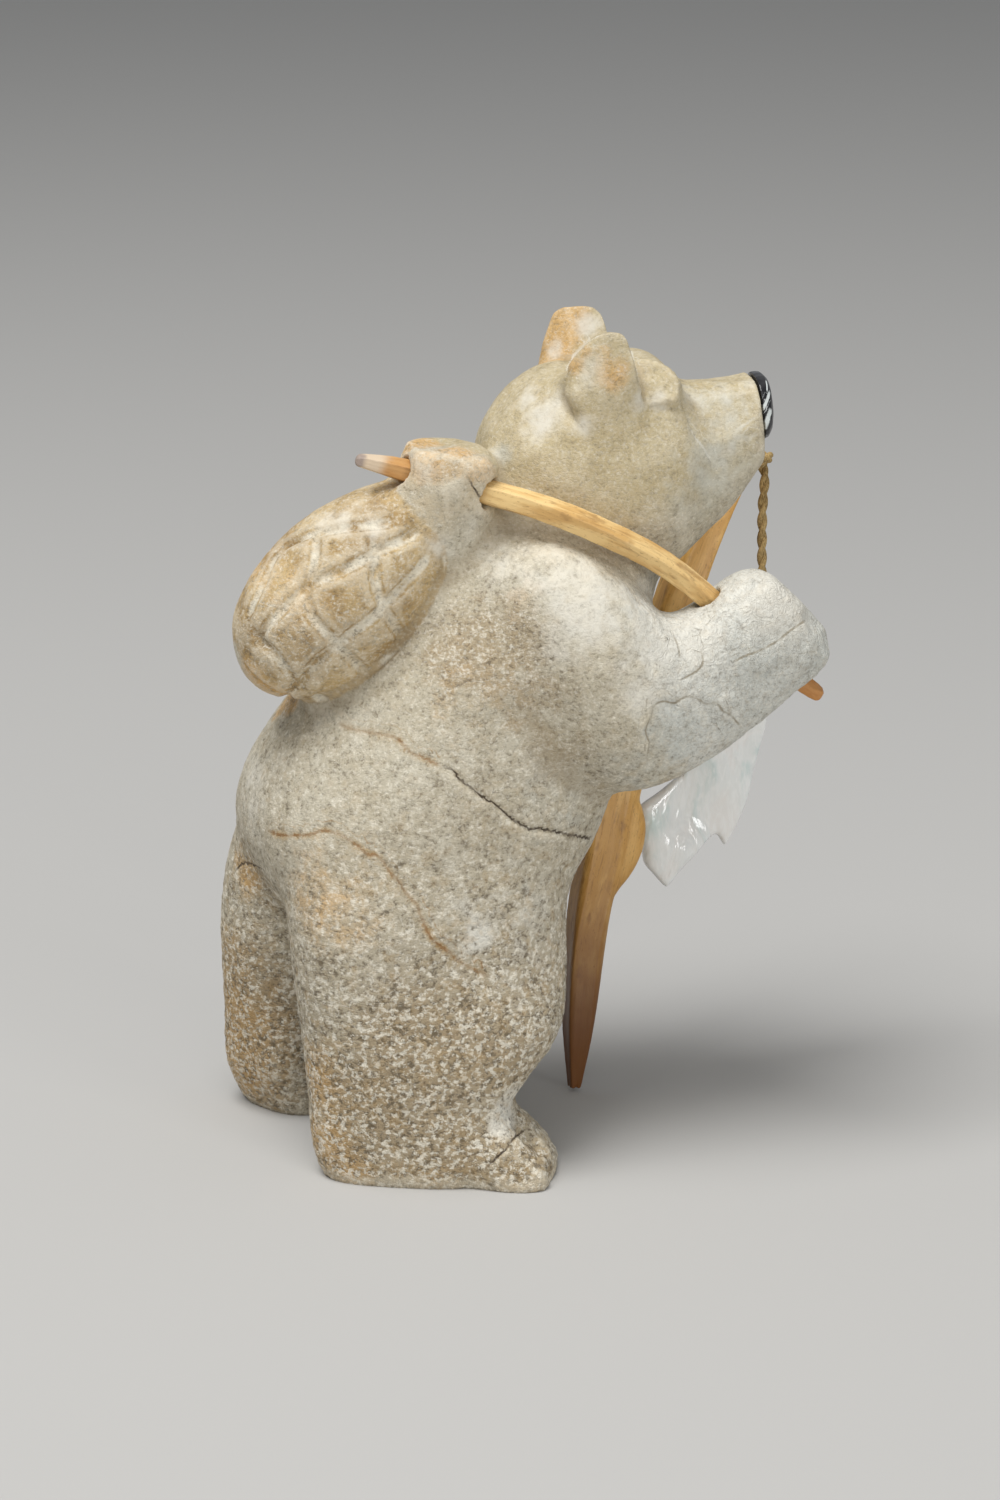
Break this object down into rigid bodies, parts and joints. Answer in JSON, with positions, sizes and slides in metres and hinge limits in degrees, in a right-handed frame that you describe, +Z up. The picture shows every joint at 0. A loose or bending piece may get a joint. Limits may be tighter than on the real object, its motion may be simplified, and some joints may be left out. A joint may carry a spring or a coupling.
{
  "type": "bear fetish carving",
  "caption": "Stone bear standing upright with a netted bag on its back, a curved carrying stick over one shoulder and a wooden fishing pole with a hanging shell fish.",
  "frame": {"origin": "on the ground plane under the middle of the bear's overall box, the hanging twine and fish left out", "axes": "+Z up from the soles to the ears, -Y the way the bear faces, +X to the bear's left"},
  "size_m": [0.0648, 0.0865, 0.115],
  "materials": {
    "stone": "matte carved",
    "black_inlay": "polished",
    "stick_wood": "satin",
    "pole_wood": "satin",
    "twine": "twisted fibre",
    "shell": "pearly"
  },
  "bodies": {
    "root": {"bear": "stone", "nose_inlay": "black_inlay", "eye_right": "black_inlay", "eye_left": "black_inlay", "carrying_stick": "stick_wood", "fishing_pole": "pole_wood", "fishing_line": "twine", "fish": "shell"}
  },
  "joints": []
}
